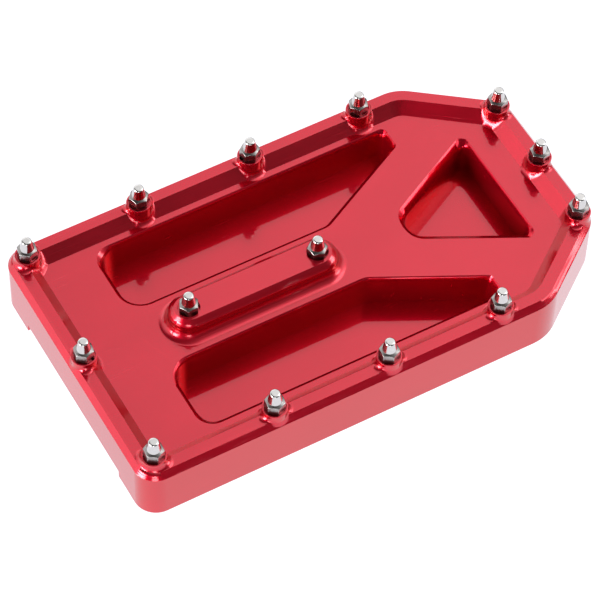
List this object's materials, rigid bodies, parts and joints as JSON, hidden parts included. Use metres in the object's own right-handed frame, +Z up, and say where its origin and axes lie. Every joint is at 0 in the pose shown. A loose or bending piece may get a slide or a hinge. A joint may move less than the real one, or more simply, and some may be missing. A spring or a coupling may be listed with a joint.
{
  "type": "brake pedal pad",
  "caption": "Flat milled pedal pad with one pointed end, a raised rim, a recessed deck with pockets, and conical grip studs screwed into round bosses.",
  "frame": {"origin": "middle of the bounding box, on the underside of the pad", "axes": "+X along the pad towards its pointed end, +Y across it, +Z up out of the studded face"},
  "size_m": [0.122, 0.0694, 0.021],
  "materials": {
    "red_anodised": "red anodised, milled, glossy",
    "bright_steel": "turned bright"
  },
  "bodies": {
    "root": {"pad_body": "red_anodised", "rim_stud_01": "bright_steel", "rim_stud_02": "bright_steel", "rim_stud_03": "bright_steel", "rim_stud_04": "bright_steel", "rim_stud_05": "bright_steel", "rim_stud_06": "bright_steel", "rim_stud_07": "bright_steel", "rim_stud_08": "bright_steel", "rim_stud_09": "bright_steel", "rim_stud_10": "bright_steel", "rim_stud_11": "bright_steel", "rim_stud_12": "bright_steel", "island_stud_1": "bright_steel", "island_stud_2": "bright_steel"}
  },
  "joints": []
}
